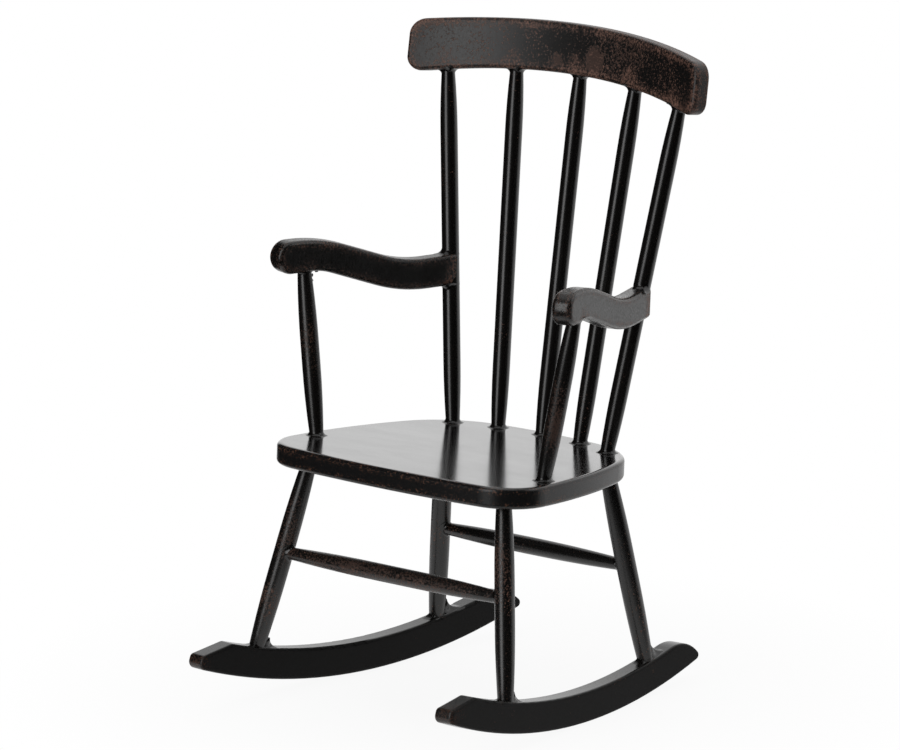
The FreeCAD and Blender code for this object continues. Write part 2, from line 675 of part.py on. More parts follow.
def make_rocker(hand):
    """Rocker with a socket in its top edge for each leg."""
    side = SIDES[hand]
    name = "rocker_" + hand
    body = doc.addObject("PartDesign::Body", name + "_body")
    sketch = new_sketch(body, name + "_outline", "YZ_Plane")
    corners, outline = rocker_outline(side)
    draw_loop(sketch, outline)
    pad = body.newObject("PartDesign::Pad", name + "_thickness")
    pad.Profile = sketch
    pad.Midplane = True
    pad.setExpression("Length", "Sizes.RockerThickness")
    doc.recompute()
    base = pad
    rounds = ("RockerNoseRound", "RockerToeRound", "RockerHeelRound", "RockerBevelRound")
    for corner, radius in zip(corners, rounds):
        blunt = body.newObject("PartDesign::Fillet", name + "_end")
        blunt.Base = (base, [edge_through(base.Shape, corner)])
        blunt.setExpression("Radius", "Sizes." + radius)
        doc.recompute()
        base = blunt
    rounding = body.newObject("PartDesign::Fillet", name + "_edges")
    rounding.Base = (base, flat_side_edges(base.Shape, "x", size("RockerThickness") / 2))
    rounding.setExpression("Radius", "Sizes.RockerEdgeRound")
    body.Placement = FreeCAD.Placement(
        Vector(side * size("RockerHalfSpacing"), 0, 0),
        FreeCAD.Rotation(UP, side * size("RockerToeInAngle")))
    cutters = []
    for leg in ("front_leg_" + hand, "rear_leg_" + hand):
        foot, head = leg_ends[leg]
        down = (foot - head).normalize()
        cutters.append(socket(leg + "_foot_socket", foot, down, "RockerSocketDepth", "LegFootRadius"))
    finish(name, body, cutters)


# ---------------------------------------------------------------- turned pieces
def make_turned_pieces():
    """Spindles, arm posts, legs and the two stretchers between the legs."""
    for name, (foot, head) in spindle_ends.items():
        depths = ("SeatSocketDepth", "CrestSocketDepth")
        radii = ("SpindleFootRadius", "SpindleRadius", "SpindleHeadRadius")
        finish(name, turned(name, foot, head, depths, radii, ("SpindleTaper", "SpindleTaper")), [])
    for name, (foot, head) in post_ends.items():
        depths = ("SeatSocketDepth", "ArmSocketDepth")
        radii = ("PostEndRadius", "PostRadius", "PostEndRadius")
        finish(name, turned(name, foot, head, depths, radii, ("PostTaper", "PostTaper")), [])

    holes = {name: [] for name in leg_ends}
    for end in ("front", "rear"):
        name = end + "_stretcher"
        height = size(end.capitalize() + "StretcherHeight")
        left = at_height(*leg_ends[end + "_leg_left"], height)
        right = at_height(*leg_ends[end + "_leg_right"], height)
        across = (left - right).normalize()
        mouths = {"right": right + across * size("LegRadius"), "left": left - across * size("LegRadius")}
        depths = ("StretcherSocketDepth", "StretcherSocketDepth")
        radii = ("StretcherEndRadius", "StretcherRadius", "StretcherEndRadius")
        tapers = ("StretcherTaper", "StretcherTaper")
        finish(name, turned(name, mouths["right"], mouths["left"], depths, radii, tapers), [])
        for hand, side in SIDES.items():
            leg = f"{end}_leg_{hand}"
            hole = socket(leg + "_hole", mouths[hand], across * side,
                          "StretcherSocketDepth", "StretcherEndRadius")
            holes[leg].append(hole)
    for name, (foot, head) in leg_ends.items():
        depths = ("RockerSocketDepth", "SeatSocketDepth")
        radii = ("LegFootRadius", "LegRadius", "LegHeadRadius")
        leg = turned(name, foot, head, depths, radii, ("LegTaper", "LegTaper"))
        finish(name, leg, holes[name])


make_seat()
make_crest_rail()
for hand in SIDES:
    make_arm(hand)
    make_rocker(hand)
make_turned_pieces()
doc.recompute()

for item in doc.Objects:
    if "Invalid" in item.State or "Error" in item.State:
        raise RuntimeError(f"{item.Label} did not build: {item.State}")
for name, item in parts.items():
    if item.Shape.isNull() or not item.Shape.isValid() or len(item.Shape.Solids) != 1:
        raise RuntimeError(f"{name} is not one valid solid")
    item.Shape.exportStep(f"parts/{name}.step")
    print(f"{name:28s} {item.Shape.Volume:9.2f} mm3")
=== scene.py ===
"""Looks of a miniature rocking chair: small cast and turned rods, arms, a crest rail, a seat and two
rockers, sprayed near-black and rubbed back to the brown underneath on edges and raised places."""

import math

import bpy
import numpy as np
from mathutils import Matrix, Vector


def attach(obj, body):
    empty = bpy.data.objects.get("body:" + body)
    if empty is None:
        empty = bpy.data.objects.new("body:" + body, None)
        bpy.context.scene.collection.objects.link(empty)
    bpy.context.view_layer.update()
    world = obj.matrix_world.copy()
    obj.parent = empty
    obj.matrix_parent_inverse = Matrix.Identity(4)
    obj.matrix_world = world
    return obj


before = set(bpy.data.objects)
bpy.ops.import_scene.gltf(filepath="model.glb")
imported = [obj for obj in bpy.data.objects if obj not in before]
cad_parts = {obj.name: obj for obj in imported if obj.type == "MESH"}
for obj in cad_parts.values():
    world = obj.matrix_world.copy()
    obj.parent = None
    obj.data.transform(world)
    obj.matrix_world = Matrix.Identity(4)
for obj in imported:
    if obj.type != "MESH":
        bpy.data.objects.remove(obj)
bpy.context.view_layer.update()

# Seat: one slab cut to a rounded outline, its edges eased, then sprayed until the top runs smooth
# and glossy, with faint streaks. The rim is rubbed through to the brown in small flecks.
SEAT_BLACK = (0.0095, 0.0090, 0.0092, 1.0)
SEAT_BROWN = (0.120, 0.058, 0.036, 1.0)
STREAK_SQUEEZE = 0.35
UPWARDS = (0.0, 0.0, 1.0)
SIDEWAYS = (1.0, 0.0, 0.0)


def add_node(tree, kind, **inputs):
    """Makes a node of that kind and sets its inputs by name."""
    node = tree.nodes.new(kind)
    for key, value in inputs.items():
        node.inputs[key.replace("_", " ")].default_value = value
    return node


def noise_at(tree, place, scale, detail=2.0, roughness=0.5):
    """A noise of that many cells per metre, read at the place given."""
    noise = add_node(tree, "ShaderNodeTexNoise", Scale=scale, Detail=detail, Roughness=roughness)
    tree.links.new(place, noise.inputs["Vector"])
    return noise.outputs["Fac"]


def arithmetic(tree, operation, first, second):
    """first and second, each a socket or a number, put through one operation."""
    node = tree.nodes.new("ShaderNodeMath")
    node.operation = operation
    for socket, value in zip(node.inputs, (first, second)):
        if isinstance(value, (int, float)):
            socket.default_value = value
        else:
            tree.links.new(value, socket)
    return node.outputs[0]


def between(tree, value, low, high, out_low=0.0, out_high=1.0):
    """Carries value from low..high to out_low..out_high, held at both ends."""
    node = tree.nodes.new("ShaderNodeMapRange")
    node.clamp = True
    tree.links.new(value, node.inputs["Value"])
    for key, number in (("From Min", low), ("From Max", high),
                        ("To Min", out_low), ("To Max", out_high)):
        node.inputs[key].default_value = number
    return node.outputs["Result"]


def edge_closeness(tree, width):
    """1 on an edge and 0 on the flats: how far a normal rounded over that width leans from the true
    one."""
    rounded = tree.nodes.new("ShaderNodeBevel")
    rounded.samples = 6
    rounded.inputs["Radius"].default_value = width
    true = tree.nodes.new("ShaderNodeNewGeometry")
    dot = tree.nodes.new("ShaderNodeVectorMath")
    dot.operation = "DOT_PRODUCT"
    tree.links.new(rounded.outputs["Normal"], dot.inputs[0])
    tree.links.new(true.outputs["Normal"], dot.inputs[1])
    return between(tree, dot.outputs["Value"], 0.998, 0.92)


def rubbed_material(name, black, brown, shine, bareness, wear, rim=0.12, rim_width=0.0008,
                    fleck=0.00042, relief=0.00002, uneven=0.03, spots=()):
    """Near-black paint over brown. A fine noise of fleck-sized cells shows the brown where it stands
    above a limit; the limit sinks by bareness everywhere, by wear in the patches of a slow noise, by
    rim along the edges, and towards the middle of each spot, given as its middle, its three radii
    and how much. The brown is lightest where the noise stands highest. shine is the paint's
    roughness, which varies by uneven; the bare brown is duller."""
    made = bpy.data.materials.new(name)
    made.use_nodes = True
    tree = made.node_tree
    shader = tree.nodes["Principled BSDF"]
    place = tree.nodes.new("ShaderNodeTexCoord").outputs["Object"]
    fine = noise_at(tree, place, 1.0 / fleck, 3.0, 0.62)
    slow = noise_at(tree, place, 120.0, 3.0, 0.6)
    patch = between(tree, slow, 0.42, 0.64, bareness, bareness + wear)
    edge = arithmetic(tree, "MULTIPLY", edge_closeness(tree, rim_width), rim)
    flecks = arithmetic(tree, "ADD", arithmetic(tree, "ADD", fine, patch), edge)
    raised = flecks
    for middle, radii, amount in spots:
        offset = tree.nodes.new("ShaderNodeVectorMath")
        offset.operation = "SUBTRACT"
        tree.links.new(place, offset.inputs[0])
        offset.inputs[1].default_value = middle
        scaled = tree.nodes.new("ShaderNodeVectorMath")
        scaled.operation = "DIVIDE"
        tree.links.new(offset.outputs[0], scaled.inputs[0])
        scaled.inputs[1].default_value = radii
        away = tree.nodes.new("ShaderNodeVectorMath")
        away.operation = "LENGTH"
        tree.links.new(scaled.outputs[0], away.inputs[0])
        closeness = between(tree, away.outputs["Value"], 0.0, 1.0, amount, 0.0)
        raised = arithmetic(tree, "ADD", raised, closeness)
    worn = between(tree, raised, 0.70, 0.75)
    shade = tree.nodes.new("ShaderNodeMix")
    shade.data_type = "RGBA"
    shade.inputs[6].default_value = tuple(0.7 * part for part in brown[:3]) + (1.0,)
    shade.inputs[7].default_value = tuple(3.2 * part for part in brown[:3]) + (1.0,)
    tree.links.new(between(tree, flecks, 0.71, 0.90), shade.inputs[0])
    coat = tree.nodes.new("ShaderNodeMix")
    coat.data_type = "RGBA"
    coat.inputs[6].default_value = black
    tree.links.new(shade.outputs[2], coat.inputs[7])
    tree.links.new(worn, coat.inputs[0])
    tree.links.new(coat.outputs[2], shader.inputs["Base Color"])
    grain = noise_at(tree, place, 2600.0, 2.0, 0.6)
    dull = arithmetic(tree, "MULTIPLY", worn, 0.2)
    sheen = between(tree, grain, 0.3, 0.7, shine - uneven, shine + uneven)
    tree.links.new(arithmetic(tree, "ADD", sheen, dull), shader.inputs["Roughness"])
    bump = add_node(tree, "ShaderNodeBump", Strength=0.5, Distance=relief)
    height = arithmetic(tree, "SUBTRACT", arithmetic(tree, "MULTIPLY", grain, 0.4), worn)
    tree.links.new(height, bump.inputs["Height"])
    tree.links.new(bump.outputs["Normal"], shader.inputs["Normal"])
    return made


def facing_share(tree, direction, start, full, out_low, out_high):
    """out_low to out_high as the cosine between the surface and that axis of the world, either way,
    goes from start to full."""
    lean = tree.nodes.new("ShaderNodeVectorMath")
    lean.operation = "DOT_PRODUCT"
    tree.links.new(tree.nodes.new("ShaderNodeNewGeometry").outputs["Normal"], lean.inputs[0])
    lean.inputs[1].default_value = direction
    return between(tree, arithmetic(tree, "ABSOLUTE", lean.outputs["Value"], 0.0),
                   start, full, out_low, out_high)


def duller_facing(made, direction, start, full, extra):
    """Adds extra to a material's roughness where the surface faces along an axis: none of it where
    the cosine to that axis is start, and all where it is full."""
    tree = made.node_tree
    roughness = tree.nodes["Principled BSDF"].inputs["Roughness"]
    added = facing_share(tree, direction, start, full, 0.0, extra)
    tree.links.new(arithmetic(tree, "ADD", roughness.links[0].from_socket, added), roughness)


def dress(node, made):
    """Gives a CAD node that material."""
    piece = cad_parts[node]
    piece.data.materials.clear()
    piece.data.materials.append(made)


seat_paint = rubbed_material("seat_paint", SEAT_BLACK, SEAT_BROWN, shine=0.14, bareness=-0.06,
                             wear=0.07, rim=0.20, rim_width=0.0032, relief=0.000008)
seat_tree = seat_paint.node_tree
seat_shader = seat_tree.nodes["Principled BSDF"]
seat_shader.inputs["Specular IOR Level"].default_value = 0.35
seat_shader.inputs["Coat Roughness"].default_value = 0.16
seat_place = seat_tree.nodes.new("ShaderNodeTexCoord").outputs["Object"]
brushed = add_node(seat_tree, "ShaderNodeMapping", Scale=(STREAK_SQUEEZE, 1.0, 1.0))
seat_tree.links.new(seat_place, brushed.inputs["Vector"])
streaks = noise_at(seat_tree, brushed.outputs["Vector"], 150.0, 3.0, 0.55)
streaky = between(seat_tree, streaks, 0.35, 0.65, 0.86, 1.0)
gloss = arithmetic(seat_tree, "MULTIPLY", streaky,
                   facing_share(seat_tree, UPWARDS, 0.55, 0.97, out_low=0.0, out_high=1.0))
seat_tree.links.new(gloss, seat_shader.inputs["Coat Weight"])
duller_facing(seat_paint, UPWARDS, start=0.85, full=0.3, extra=0.16)
dress("seat", seat_paint)

# Crest rail: a bent board, sprayed and then rubbed back: light flecks along its edges, a mottle
# over its left half, and two bare spots beside the head of the centre spindle.
CREST_BLACK = (0.0080, 0.0070, 0.0068, 1.0)
CREST_BROWN = (0.092, 0.049, 0.036, 1.0)
CREST_SPOTS = (
    ((0.0046, 0.025, 0.1243), (0.0030, 0.1, 0.0034), 0.44),
    ((-0.0046, 0.025, 0.1232), (0.0024, 0.1, 0.0022), 0.34),
    ((0.0130, 0.025, 0.1270), (0.0170, 0.1, 0.0070), 0.13),
    ((0.0310, 0.025, 0.1190), (0.0110, 0.1, 0.0070), 0.14),
    ((-0.0340, 0.025, 0.1290), (0.0140, 0.1, 0.0050), 0.08),
)

crest_paint = rubbed_material("crest_paint", CREST_BLACK, CREST_BROWN, shine=0.38, bareness=0.085,
                              wear=0.09, rim=0.17, rim_width=0.0034, fleck=0.00046,
                              spots=CREST_SPOTS)
duller_facing(crest_paint, SIDEWAYS, start=0.5, full=0.9, extra=0.32)
dress("crest_rail", crest_paint)

# Back spindles: five turned rods, thickest half-way up, set into the seat and the crest rail.
ROD_BLACK = (0.0058, 0.0050, 0.0046, 1.0)
ROD_BROWN = (0.075, 0.038, 0.026, 1.0)

spindle_paint = rubbed_material("spindle_paint", ROD_BLACK, ROD_BROWN, shine=0.25, bareness=-0.04,
                                wear=0.12, rim=0.0, relief=0.000006, uneven=0.015)
for spindle in ("centre", "inner_left", "inner_right", "outer_left", "outer_right"):
    dress("back_spindle_" + spindle, spindle_paint)

# Arms: two curved bars, each cradling an outer spindle at the back and standing on a post in front.
arm_paint = rubbed_material("arm_paint", ROD_BLACK, ROD_BROWN, shine=0.26, bareness=-0.02,
                            wear=0.10, rim=0.22, rim_width=0.0030, relief=0.00018, uneven=0.10)
duller_facing(arm_paint, SIDEWAYS, start=0.86, full=0.94, extra=0.15)
dress("arm_left", arm_paint)
dress("arm_right", arm_paint)

# Arm posts, legs and stretchers: turned rods with thinner ends; the arm posts, the left front leg
# and the front stretcher are rubbed brown half-way along.
ARM_POST_SPOTS = (
    ((0.0322, -0.0178, 0.0630), (0.0040, 0.0040, 0.0130), 0.32),
    ((-0.0315, -0.0178, 0.0700), (0.0040, 0.0040, 0.0150), 0.16),
)
LEG_SPOTS = (
    ((0.0265, -0.0300, 0.0390), (0.0045, 0.0045, 0.0120), 0.17),
    ((-0.0270, -0.0300, 0.0380), (0.0045, 0.0045, 0.0150), 0.21),
    ((-0.0305, -0.0330, 0.0200), (0.0045, 0.0045, 0.0100), 0.15),
    ((-0.0130, -0.0305, 0.0300), (0.0200, 0.0060, 0.0060), 0.21),
    ((0.0140, -0.0305, 0.0300), (0.0200, 0.0060, 0.0060), 0.19),
)

post_paint = rubbed_material("post_paint", ROD_BLACK, ROD_BROWN, shine=0.28, bareness=-0.03,
                             wear=0.10, rim=0.0, fleck=0.00034, relief=0.00001, uneven=0.015,
                             spots=ARM_POST_SPOTS)
for rod in ("arm_post_left", "arm_post_right"):
    dress(rod, post_paint)
leg_paint = rubbed_material("leg_paint", ROD_BLACK, ROD_BROWN, shine=0.28, bareness=0.02, wear=0.12,
                            rim=0.0, fleck=0.00038, relief=0.00001, uneven=0.015, spots=LEG_SPOTS)
for rod in ("front_leg_left", "front_leg_right", "front_stretcher", "rear_leg_left",
            "rear_leg_right", "rear_stretcher"):
    dress(rod, leg_paint)

# Rockers: two flat curved runners, their sides left dull and grainy, their top edges and tips
# rubbed. The dull sides are a roughness that follows the way the surface faces.
ROCKER_BLACK = (0.0062, 0.0058, 0.0056, 1.0)
ROCKER_SPOTS = (
    ((0.0343, -0.0535, 0.0120), (0.0060, 0.0060, 0.0050), 0.26),
    ((-0.0338, -0.0500, 0.0100), (0.0060, 0.0045, 0.0045), 0.24),
    ((0.0287, 0.0, 0.0065), (0.0060, 0.0250, 0.0016), 0.09),
)

rocker_paint = rubbed_material("rocker_paint", ROCKER_BLACK, ROD_BROWN, shine=0.30, bareness=-0.02,
                               wear=0.06, rim=0.10, rim_width=0.0009, fleck=0.00034,
                               spots=ROCKER_SPOTS)
rocker_tree = rocker_paint.node_tree
rocker_shader = rocker_tree.nodes["Principled BSDF"]
rocker_shader.inputs["Specular IOR Level"].default_value = 0.2
rocker_shader.inputs["Coat Roughness"].default_value = 0.2
rocker_tree.links.new(
    facing_share(rocker_tree, SIDEWAYS, 0.15, 0.6, out_low=0.4, out_high=0.0),
    rocker_shader.inputs["Coat Weight"])
duller_facing(rocker_paint, SIDEWAYS, start=0.25, full=0.85, extra=0.50)
dress("rocker_left", rocker_paint)
dress("rocker_right", rocker_paint)

# Paint beads: where a rod enters another piece the spray has gathered in a soft hollow ring, which
# runs up the rod and out over the surface; on narrow edges the ring is drawn out along them.
SEAT_RAKE = math.radians(3.3)
BACK_LEAN = math.radians(9.3)
CREST_ARCH = 0.167
CREST_BAND = (0.0020, 0.0008)
ARM_BAND = (0.0021, 0.00095)
ROCKER_BAND = (0.0021, 0.0007)
ROCKER_TOP_ARC = 0.1376
ROCKER_TOE_IN = math.radians(5.7)
ROCKER_HALF_SPACING = 0.02869
ARM_REAR_TOP = 0.08274
ARM_REAR_UNDER = 0.07654
ARM_FRONT = (0.0365, -0.0217)
SOCKET_DEPTHS = {"seat": 0.0017, "crest": 0.0030, "arm": 0.0024, "rocker": 0.0027, "leg": 0.0012}
ROD_RADII = {"spindle foot": 0.00142, "spindle head": 0.00135, "spindle": 0.00175, "post": 0.00140,
             "leg head": 0.00155, "leg foot": 0.00160, "leg": 0.0020, "stretcher": 0.00125}


def unit(vectors):
    """Vectors of length one along the given ones."""
    return vectors / np.linalg.norm(vectors, axis=-1, keepdims=True)


def rod_axis(node):
    """The middles of the two end faces of a turned rod, lower one first: the mean of the distinct
    corners that lie within a fiftieth of a millimetre of its furthest ones along its length. On the
    legs, whose side sockets pull the first guess at the length aside, it lands over a millimetre
    off, near the rim; the beads there are out of place by as much."""
    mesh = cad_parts[node].data
    corners = np.empty(3 * len(mesh.vertices))
    mesh.vertices.foreach_get("co", corners)
    corners = np.unique(np.round(corners.reshape(-1, 3), 7), axis=0)
    along = np.linalg.svd(corners - corners.mean(axis=0), full_matrices=False)[2][0]
    for _ in range(3):
        reach = corners @ along
        ends = [corners[reach < reach.min() + 2e-5].mean(axis=0),
                corners[reach > reach.max() - 2e-5].mean(axis=0)]
        along = unit(ends[1] - ends[0])
    return sorted(ends, key=lambda end: end[2])


def banded(normal, lengthwise, band, shift=0.0):
    """A face with that normal, which runs lengthwise and has rounded edges; band is half its width
    and the radius of its edges, and its middle line lies shift to the side of the joint's middle. A
    line of the rod's surface meets it where its height above the face is the edge's drop there,
    r - sqrt(r^2 - (distance past the flat)^2), found in five steps."""
    normal = unit(np.asarray(normal, float))
    across = unit(np.cross(normal, np.asarray(lengthwise, float)))
    half, edge = band

    def meet(starts, along):
        rise = np.zeros(len(starts))
        for _ in range(5):
            side = starts @ across + rise * (along @ across) - shift
            past = np.clip(np.abs(side) - (half - edge), 0.0, 0.98 * edge)
            drop = edge - np.sqrt(edge ** 2 - past ** 2)
            rise = (-drop - starts @ normal) / (along @ normal)
        tilt = (past / edge)[:, None]
        return rise, np.sqrt(1 - tilt ** 2) * normal + tilt * np.sign(side)[:, None] * across

    return meet


def rounded(axis, radius):
    """The side of a round rod whose middle line passes at that radius beneath the joint's middle: a
    line meets it where its distance from that middle line is the radius."""
    axis = unit(np.asarray(axis, float))

    def meet(starts, along):
        across = starts + radius * along
        across = across - (across @ axis)[:, None] * axis
        straight = unit(along - (along @ axis) * axis)
        climb = across @ straight
        under_root = climb ** 2 - (across ** 2).sum(axis=-1) + radius ** 2
        rise = np.sqrt(np.maximum(under_root, 0.0)) - climb
        return rise / (along @ straight), unit(across + rise[:, None] * straight)

    return meet


def bead_ring(middle, along, rod_radius, host, size, lengthwise=None, room=1.0, shift=0.0,
              ahead_only=False):
    """Hollow ring of paint round a joint. At each turn about the rod's axis the corner between rod
    and host is found, and a curve runs from a point up the rod to a point out over the host and
    bends towards that corner: (1-t)^2 up + 2t(1-t) bend + t^2 out. The ring closes inside both.
    It reaches out by size, or on a narrow lengthwise host only as far as the room to either side of
    that host's middle line, which lies shift to the side of the joint's middle."""
    along = unit(np.asarray(along, float))
    first = unit(np.cross(along, (0.0, 0.31, 0.95) if abs(along[0]) > 0.7 else (1.0, 0.0, 0.0)))
    second = np.cross(along, first)
    turn = np.linspace(0.0, 2.0 * np.pi, 73)[:-1]
    out = np.cos(turn)[:, None] * first + np.sin(turn)[:, None] * second
    share = np.ones(len(turn))
    climb = np.ones(len(turn))
    if lengthwise is not None:
        across = out @ unit(np.cross(along, np.asarray(lengthwise, float)))
        beside = (room + np.sign(across) * shift) / (np.abs(across) + 1e-6)
        share = np.clip((beside - rod_radius) / size, 0.05, 1.0)
        climb = 0.4 + 0.6 * share
        if ahead_only:
            ahead = np.clip(0.5 + 2.0 * (out @ unit(np.asarray(lengthwise, float))), 0.02, 1.0)
            share, climb = share * ahead, climb * ahead
    reach = (size * share)[:, None]
    climb = (min(size, 0.0005 + 0.5 * size) * climb)[:, None]
    rise, normals = host(rod_radius * out, along)
    corner = middle + rod_radius * out + rise[:, None] * along
    rise, normals = host((rod_radius + reach) * out, along)
    outer = middle + (rod_radius + reach) * out + rise[:, None] * along
    spread = unit(outer - corner)
    dip = 0.03 * size
    corner = corner - dip * (normals + out)
    outer = outer - dip * normals
    up = corner + climb * along
    bend = 0.82 * corner + 0.09 * (up + outer)
    step = np.linspace(0.0, 1.0, 10)[None, :, None]
    curve = ((1 - step) ** 2 * up[:, None, :] + 2 * step * (1 - step) * bend[:, None, :]
             + step ** 2 * outer[:, None, :])
    inside = np.stack([outer + 0.12 * reach * spread - dip * normals,
                       outer - 8 * dip * normals,
                       corner - 8 * dip * (normals + out),
                       up - 8 * dip * out,
                       up + 0.12 * climb * along - dip * out], axis=1)
    return np.concatenate([curve, inside], axis=1)


def joined_rings(rings):
    """Points and quads of closed rings, each a grid that joins up in both directions."""
    points, faces, base = [], [], 0
    for ring in rings:
        rows, columns = ring.shape[:2]
        row = np.arange(rows)[:, None]
        column = np.arange(columns)[None, :]
        here = row * columns + column
        ahead = (row + 1) % rows * columns + column
        beside = row * columns + (column + 1) % columns
        both = (row + 1) % rows * columns + (column + 1) % columns
        faces.append(np.stack([here, beside, both, ahead], axis=-1).reshape(-1, 4) + base)
        points.append(ring.reshape(-1, 3))
        base += rows * columns
    return np.concatenate(points), np.concatenate(faces)


def made_piece(name, points, faces, made):
    """A smooth mesh object at the origin from an array of points and an array of quads."""
    mesh = bpy.data.meshes.new(name)
    mesh.from_pydata(points.reshape(-1, 3).tolist(), [], faces.tolist())
    mesh.polygons.foreach_set("use_smooth", np.ones(len(mesh.polygons), bool))
    mesh.materials.append(made)
    mesh.update()
    piece = bpy.data.objects.new(name, mesh)
    bpy.context.collection.objects.link(piece)
    return piece


def add_beads(name, rings):
    """One piece of all the rings of paint on a piece."""
    beads = made_piece(name, *joined_rings(rings), bead_paint)
    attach(beads, "root")


bead_paint = rubbed_material("bead_paint", ROD_BLACK, ROD_BROWN, shine=0.20, bareness=-0.06,
                             wear=0.10, rim=0.0, relief=0.00001)
SEAT_BAND = (1.0, 0.001)
seat_up = np.array([0.0, math.sin(SEAT_RAKE), math.cos(SEAT_RAKE)])
back_up = np.array([0.0, math.sin(BACK_LEAN), math.cos(BACK_LEAN)])
sideways = np.array([1.0, 0.0, 0.0])
straight_up = np.array([0.0, 0.0, 1.0])
seat_rings, crest_rings, arm_rings, rocker_rings, leg_rings = [], [], [], [], []

for spindle in ("centre", "inner_left", "inner_right", "outer_left", "outer_right"):
    low, high = rod_axis("back_spindle_" + spindle)
    along = unit(high - low)
    foot = low + SOCKET_DEPTHS["seat"] * along
    head = high - SOCKET_DEPTHS["crest"] * along
    arch = head[0] / CREST_ARCH
    crest_down = -(arch * sideways + math.sqrt(1 - arch ** 2) * back_up)
    seat_rings.append(bead_ring(foot, along, ROD_RADII["spindle foot"],
                                banded(seat_up, sideways, SEAT_BAND), 0.0010))
    crest_rings.append(bead_ring(head, -along, ROD_RADII["spindle head"],
                                 banded(crest_down, sideways, CREST_BAND), 0.0012,
                                 sideways, CREST_BAND[0] - 0.0001))

for hand, side in (("left", 1), ("right", -1)):
    low, high = rod_axis("back_spindle_outer_" + hand)
    along = unit(high - low)
    for height, facing, size in ((ARM_REAR_TOP, 1, 0.0015), (ARM_REAR_UNDER, -1, 0.0011)):
        middle = low + along * (height - low[2]) / along[2]
        forward = unit(np.array([side * ARM_FRONT[0], ARM_FRONT[1], height]) - middle)
        arm_rings.append(bead_ring(middle, facing * along, ROD_RADII["spindle"],
                                   banded(facing * straight_up, forward, ARM_BAND),
                                   size, forward, ARM_BAND[0], ahead_only=True))
    low, high = rod_axis("arm_post_" + hand)
    along = unit(high - low)
    seat_rings.append(bead_ring(low + SOCKET_DEPTHS["seat"] * along, along, ROD_RADII["post"],
                                banded(seat_up, sideways, SEAT_BAND), 0.0010))
    arm_rings.append(bead_ring(high - SOCKET_DEPTHS["arm"] * along, -along, ROD_RADII["post"],
                               banded(-straight_up, forward, ARM_BAND), 0.0007,
                               forward, ARM_BAND[0]))
    contact = np.array([side * ROCKER_HALF_SPACING, 0.0, 0.0])
    runner = np.array([-side * math.sin(ROCKER_TOE_IN), math.cos(ROCKER_TOE_IN), 0.0])
    for end in ("front", "rear"):
        low, high = rod_axis(f"{end}_leg_{hand}")
        along = unit(high - low)
        foot = low + SOCKET_DEPTHS["rocker"] * along
        swing = math.asin((foot - contact) @ runner / ROCKER_TOP_ARC)
        rocker_up = math.cos(swing) * straight_up - math.sin(swing) * runner
        shift = (contact - foot) @ np.cross(straight_up, runner)
        rocker_rings.append(bead_ring(foot, along, ROD_RADII["leg foot"],
                                      banded(rocker_up, runner, ROCKER_BAND, shift),
                                      0.0024 if end == "front" else 0.0042,
                                      runner, ROCKER_BAND[0] - 0.0003, shift))
        seat_rings.append(bead_ring(high - SOCKET_DEPTHS["seat"] * along, -along,
                                    ROD_RADII["leg head"],
                                    banded(-seat_up, sideways, SEAT_BAND), 0.0006))
        ends = rod_axis(end + "_stretcher")
        ends.sort(key=lambda place: -side * place[0])
        across = unit(ends[1] - ends[0])
        leg_rings.append(bead_ring(ends[0] + SOCKET_DEPTHS["leg"] * across, across,
                                   ROD_RADII["stretcher"], rounded(along, ROD_RADII["leg"]),
                                   0.0007))

add_beads("seat_paint_beads", seat_rings)
add_beads("crest_paint_beads", crest_rings)
add_beads("arm_paint_beads", arm_rings)
add_beads("rocker_paint_beads", rocker_rings)
add_beads("leg_paint_beads", leg_rings)

# Paint crumbs: lumps of dried spray hanging under the right arm's inner edge, behind its post, and
# two more on the post. Each row is a distance behind the post, inwards and down, then three radii.
CRUMBS = (
    (0.0021, 0.0014, 0.0001, 0.00042, 0.00036, 0.00040),
    (0.0030, 0.0015, 0.0000, 0.00050, 0.00034, 0.00032),
    (0.0042, 0.0016, 0.0001, 0.00036, 0.00034, 0.00046),
    (0.0054, 0.0016, 0.0000, 0.00055, 0.00034, 0.00030),
    (0.0013, 0.0008, 0.0010, 0.00034, 0.00034, 0.00036),
    (0.0013, 0.0008, 0.0021, 0.00032, 0.00032, 0.00034),
)


def grid_faces(rows, columns):
    """Quads between neighbouring rows and columns of a grid of points."""
    first = (np.arange(rows - 1)[:, None] * columns + np.arange(columns - 1)[None, :]).ravel()
    return np.stack([first, first + columns, first + columns + 1, first + 1], axis=1)


def lumps(rows):
    """Closed lumps: the six faces of a cube, each a grid, pushed out to a ball, stretched to three
    radii and dented by slow waves. Points that faces share are kept once."""
    step = np.linspace(-1.0, 1.0, 9)
    first, second = np.meshgrid(step, step, indexing="ij")
    cube = np.concatenate([
        np.roll(np.stack([sign + 0.0 * first, first, sign * second], axis=-1), axis, axis=-1)
        for axis in range(3) for sign in (1.0, -1.0)]).reshape(-1, 3)
    quads = np.concatenate([grid_faces(9, 9) + 81 * side for side in range(6)])
    kept, index = np.unique(np.round(cube, 6), axis=0, return_inverse=True)
    ball, quads = unit(kept), index.reshape(-1)[quads]
    points, faces = [], []
    for count, (middle, radius) in enumerate(rows):
        dents = 1.0 + 0.10 * np.sin(5.0 * ball[:, :1] + 2.0 * count) * np.cos(4.0 * ball[:, 2:])
        points.append(middle + ball * dents * np.asarray(radius))
        faces.append(quads + len(ball) * count)
    return np.concatenate(points), np.concatenate(faces)


low, high = rod_axis("arm_post_right")
under_arm = high - SOCKET_DEPTHS["arm"] * unit(high - low)
crumb_rows = [(under_arm + np.array([inwards, back, -down]), radii)
              for back, inwards, down, *radii in CRUMBS]
crumbs = made_piece("paint_crumbs", *lumps(crumb_rows), bead_paint)
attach(crumbs, "root")

